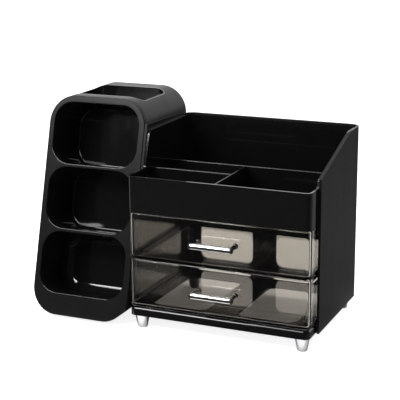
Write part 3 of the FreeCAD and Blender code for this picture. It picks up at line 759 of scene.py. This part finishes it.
casing = {"runFrom": -60.0, "rearSteps": 5, "edge": 0.35, "edgeSegments": 2, "edgeAngle": 40}
well = {"middle": -57.9, "halfWidth": 43.3, "y": (50.0, 112.0), "radius": 9.0, "steps": 10,
        "wall": 1.8, "gap": 0.2, "cut": (150.0, 260.0)}


def towerBlock():
    # The tower's rounded outline, run from well before its front to its rounded back
    bm = bmesh.new()
    face = roundedPlate(bm, (tower["x"], tower["z"]), (tower["corner"],) * 4, tower["steps"])
    drawnUp(bm, face, tower["backRound"] - tower["back"], -casing["runFrom"])
    follow(bm, faceLooking(bm, (0, 0, -1)), arcIn(tower["backRound"], casing["rearSteps"]))
    upright = Matrix(((1, 0, 0, 0), (0, 0, -1, 0), (0, 1, 0, 0), (0, 0, 0, 1)))
    upright.translation = at(0, 0, 0)
    bmesh.ops.transform(bm, matrix=upright, verts=bm.verts)
    return bm


def wellCutter():
    # A block that opens the casing's top for the insert
    bm = bmesh.new()
    outset = well["wall"] + well["gap"]
    reach = well["halfWidth"] + outset
    spans = ((well["middle"] - reach, well["middle"] + reach), (well["y"][0] - outset, well["y"][1] + outset))
    face = roundedPlate(bm, spans, (well["radius"] + outset,) * 4, well["steps"])
    drawnUp(bm, face, *well["cut"])
    bmesh.ops.translate(bm, verts=bm.verts, vec=at(0, 0, 0))
    return newObject("wellCutter", bm)


def makeTowerCasing():
    bm = towerBlock()
    bmesh.ops.delete(bm, geom=[faceLooking(bm, (0, -1, 0))], context="FACES_ONLY")
    forward = Vector((0, -math.cos(slant), math.sin(slant)))
    start = at(0, tower["frontLow"], 0) - forward * (moulding["plate"] + moulding["seamGap"]) * mm
    bmesh.ops.bisect_plane(bm, geom=bm.verts[:] + bm.edges[:] + bm.faces[:], plane_co=start, plane_no=forward,
                           clear_outer=True)
    obj = newObject("tower_casing_wrap", bm)
    walled(obj, tower["wall"])
    applied(obj)
    cutWith(obj, wellCutter())
    rounding = obj.modifiers.new("edges", "BEVEL")
    rounding.width = casing["edge"] * mm
    rounding.segments = casing["edgeSegments"]
    rounding.limit_method = "ANGLE"
    rounding.angle_limit = math.radians(casing["edgeAngle"])
    rounding.use_clamp_overlap = False
    settle(obj, "tower_casing")


makeTowerFront()
makeTowerCasing()
print("tower made")


# Stage, light and camera

floorLook = {"size": 24.0, "colour": (0.83, 0.83, 0.83), "darkColour": (0.03, 0.03, 0.03), "roughness": 0.9,
             "lift": 0.86, "liftThrough": 0.2, "liftMirrored": 0.7,
             "frontLine": (-0.065, -0.075), "darkLine": (-0.09, -0.10)}


def makeFloor():
    look = floorLook
    bm = bmesh.new()
    bmesh.ops.create_grid(bm, x_segments=1, y_segments=1, size=look["size"] / 2)
    floor = newObject("floor", bm)
    material, tree, shader = newMaterial("floorPaper")
    shader.inputs["Roughness"].default_value = look["roughness"]
    shader.inputs["Specular IOR Level"].default_value = 0.0
    rays = tree.nodes.new("ShaderNodeLightPath")
    depth = components(tree, tree.nodes.new("ShaderNodeTexCoord").outputs["Object"])["Y"]
    behindLine, aheadLine = look["frontLine"]
    # White to the eye, a little lifted behind the plastic, and bright in what mirrors the floor in front
    direct = maths(tree, "MULTIPLY", rays.outputs["Is Camera Ray"], look["lift"])
    under = ramp(tree, depth, aheadLine, behindLine, 0.0, look["liftThrough"])
    through = maths(tree, "MULTIPLY", rays.outputs["Is Transmission Ray"], under)
    ahead = ramp(tree, depth, behindLine, aheadLine, 0.0, look["liftMirrored"])
    bounced = maths(tree, "MULTIPLY", rays.outputs["Is Glossy Ray"], rays.outputs["Is Reflection Ray"])
    mirrored = maths(tree, "MULTIPLY", bounced, ahead)
    lift = maths(tree, "ADD", maths(tree, "ADD", direct, through), mirrored)
    tree.links.new(lift, shader.inputs["Emission Strength"])
    shader.inputs["Emission Color"].default_value = (1, 1, 1, 1)
    # Light mirrored inside the cabinet that leaves through a drawer meets a dark floor, as on the front card
    inner = maths(tree, "MULTIPLY", rays.outputs["Is Transmission Ray"], rays.outputs["Glossy Depth"], True)
    dark = maths(tree, "MULTIPLY", inner, ramp(tree, depth, *look["darkLine"]))
    tree.links.new(mixColour(tree, dark, look["colour"], look["darkColour"]), shader.inputs["Base Color"])
    floor.data.materials.append(material)


cards = {"frontCard": {"x": (-3.0, 3.0), "y": (-4.0, -0.10), "lift": 0.002, "colour": 0.03},
         "sideCard": {"x": (0.17, 3.0), "y": (-0.10, 3.0), "lift": 0.002, "colour": 0.2}}


def makeCard(name, look):
    # A dark card on the floor keeps the faces that mirror it deep black; it is seen in reflections only
    bm = bmesh.new()
    (x0, x1), (y0, y1) = look["x"], look["y"]
    bm.faces.new([bm.verts.new((x, y, look["lift"])) for x, y in ((x0, y0), (x1, y0), (x1, y1), (x0, y1))])
    card = newObject(name, bm)
    for rays in ("camera", "diffuse", "transmission", "volume_scatter", "shadow"):
        setattr(card, "visible_" + rays, False)
    material, tree, shader = newMaterial(name + "Cloth")
    shader.inputs["Base Color"].default_value = (*(look["colour"],) * 3, 1)
    shader.inputs["Specular IOR Level"].default_value = 0.0
    shader.inputs["Roughness"].default_value = 1.0
    card.data.materials.append(material)


# Strengths, then the spans of direction over which they change
sky = {"plain": 0.55, "front": 0.05, "side": 0.40, "band": 1.4, "turn": (0.1, 0.7),
       "horizon": (-0.02, 0.10), "bandTop": (0.45, 0.75), "bandBack": (0.55, 0.9), "onwards": (0.0, 0.3)}


def makeSky():
    # White behind the object; in reflections dark in front, grey behind and a bright band low at the back
    world = bpy.data.worlds.new("studio")
    scene.world = world
    world.use_nodes = True
    tree = world.node_tree
    background = tree.nodes["Background"]
    direction = components(tree, tree.nodes.new("ShaderNodeTexCoord").outputs["Generated"])
    back, height = direction["Y"], direction["Z"]
    behind = ramp(tree, back, *sky["turn"], sky["front"], sky["side"])
    rise = ramp(tree, height, *sky["horizon"])
    fall = ramp(tree, height, *sky["bandTop"], 1.0, 0.0)
    near = ramp(tree, back, *sky["bandBack"])
    band = maths(tree, "MULTIPLY", maths(tree, "MULTIPLY", rise, fall), near)
    glossy = maths(tree, "ADD", behind, maths(tree, "MULTIPLY", band, sky["band"] - sky["side"]))
    rays = tree.nodes.new("ShaderNodeLightPath")
    plain = ramp(tree, rays.outputs["Is Glossy Ray"], 0.0, 1.0, sky["plain"], glossy)
    onwards = maths(tree, "MULTIPLY", rays.outputs["Is Transmission Ray"], ramp(tree, back, *sky["onwards"]))
    seen = maths(tree, "MAXIMUM", rays.outputs["Is Camera Ray"], onwards)
    tree.links.new(ramp(tree, seen, 0.0, 1.0, plain, 1.0), background.inputs["Strength"])
    background.inputs["Color"].default_value = (1, 1, 1, 1)


lamps = {"overhead": {"place": (0.0, 0.25, 1.25), "size": (1.1, 0.8), "power": 9.0, "aim": (0.0, 0.0, 0.1)},
         "frontBox": {"place": (-0.45, -0.75, 1.10), "size": (0.6, 0.40), "power": 6.5, "aim": (0.0, 0.0, 0.1)},
         "bezelGlow": {"place": (-0.30, -0.48, 0.47), "size": (0.35, 0.12), "power": 2.8,
                       "aim": (-0.10, -0.03, 0.22)}}


def makeLamp(name, look):
    lamp = bpy.data.lights.new(name, "AREA")
    lamp.shape = "RECTANGLE"
    lamp.size, lamp.size_y = look["size"]
    lamp.energy = look["power"]
    obj = bpy.data.objects.new(name, lamp)
    obj.location = look["place"]
    obj.rotation_euler = (Vector(look["aim"]) - obj.location).to_track_quat("-Z", "Y").to_euler()
    scene.collection.objects.link(obj)


# From the fit to the photograph's edges
view = {"lens": 107.37, "sensor": 36.0, "place": (0.5033, -1.1296, 0.4552),
        "azimuth": 23.61, "elevation": 14.86, "roll": -0.40}


def makeCamera():
    azimuth, elevation, roll = (math.radians(view[k]) for k in ("azimuth", "elevation", "roll"))
    forward = Vector((-math.sin(azimuth) * math.cos(elevation), math.cos(azimuth) * math.cos(elevation),
                      -math.sin(elevation)))
    right = Vector((math.cos(azimuth), math.sin(azimuth), 0))
    up = right.cross(forward)
    tilted = math.cos(roll) * right + math.sin(roll) * up
    top = -math.sin(roll) * right + math.cos(roll) * up
    camera = bpy.data.objects.new("camera", bpy.data.cameras.new("camera"))
    camera.data.lens = view["lens"]
    camera.data.sensor_width = view["sensor"]
    matrix = Matrix((tilted, top, -forward)).transposed().to_4x4()
    matrix.translation = view["place"]
    camera.matrix_world = matrix
    scene.collection.objects.link(camera)
    scene.camera = camera


makeFloor()
for name, look in cards.items():
    makeCard(name, look)
makeSky()
for name, look in lamps.items():
    makeLamp(name, look)
makeCamera()
print("stage, light and camera set")
